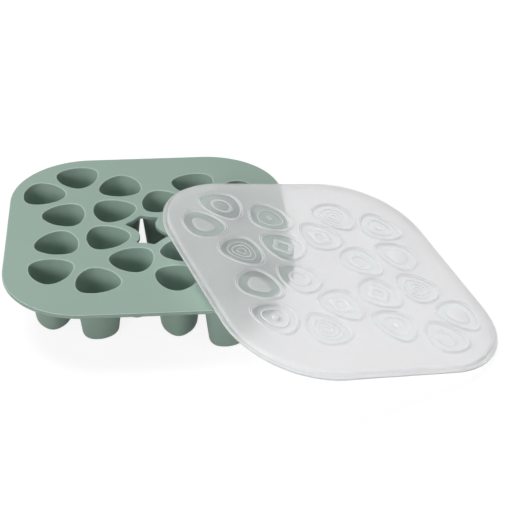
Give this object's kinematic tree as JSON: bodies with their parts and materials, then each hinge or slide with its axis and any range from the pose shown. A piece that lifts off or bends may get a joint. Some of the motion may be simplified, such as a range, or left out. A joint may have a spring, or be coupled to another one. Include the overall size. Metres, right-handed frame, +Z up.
{
  "type": "baby food freezer tray",
  "caption": "Soft moulded tray of pebble-shaped cups for freezing small portions, with a thin translucent press-on lid laid half off it.",
  "frame": {"origin": "on the surface that the tray stands on, under the middle of the box round the tray and the lid as they lie", "axes": "+X to the right, across the tray and out over the lid; +Y from the tray's front to its back; +Z up"},
  "size_m": [0.3382, 0.275, 0.0709],
  "materials": {
    "tray_silicone": "matte moulded silicone, sage green",
    "lid_plastic": "frosted translucent moulded polypropylene"
  },
  "bodies": {
    "tray": {"tray": "tray_silicone"},
    "lid": {"lid": "lid_plastic"}
  },
  "joints": [
    {"name": "lid_lift", "type": "slide", "parent": "tray", "child": "lid", "axis": [0, 0, 1], "range_m": [0, 0.12]}
  ]
}
